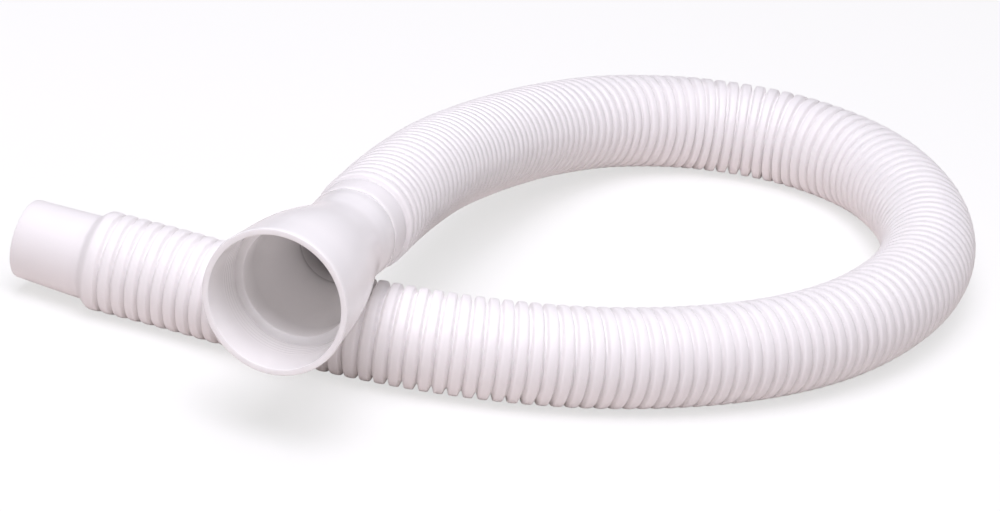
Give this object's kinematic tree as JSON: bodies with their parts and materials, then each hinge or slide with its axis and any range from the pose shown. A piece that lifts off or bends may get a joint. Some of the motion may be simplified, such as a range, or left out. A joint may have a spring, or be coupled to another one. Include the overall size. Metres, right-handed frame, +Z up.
{
  "type": "waste hose",
  "caption": "White corrugated plastic waste hose lying in a loop, with a plain outlet cuff and a cup coupling with a threaded socket for a sink or basin waste outlet",
  "frame": {"origin": "on the floor under the middle of the box around the hose as it lies in its loop", "axes": "+X to the right as the picture looks at it, +Y away from the picture's camera, +Z up from the floor"},
  "size_m": [0.387, 0.3783, 0.0895],
  "materials": {
    "hose_plastic": "satin blow-moulded PVC, slightly warm white",
    "cup_plastic": "glossy injection-moulded PVC, neutral white"
  },
  "bodies": {
    "root": {"corrugated_hose": "hose_plastic", "cup_coupling": "cup_plastic"}
  },
  "joints": []
}
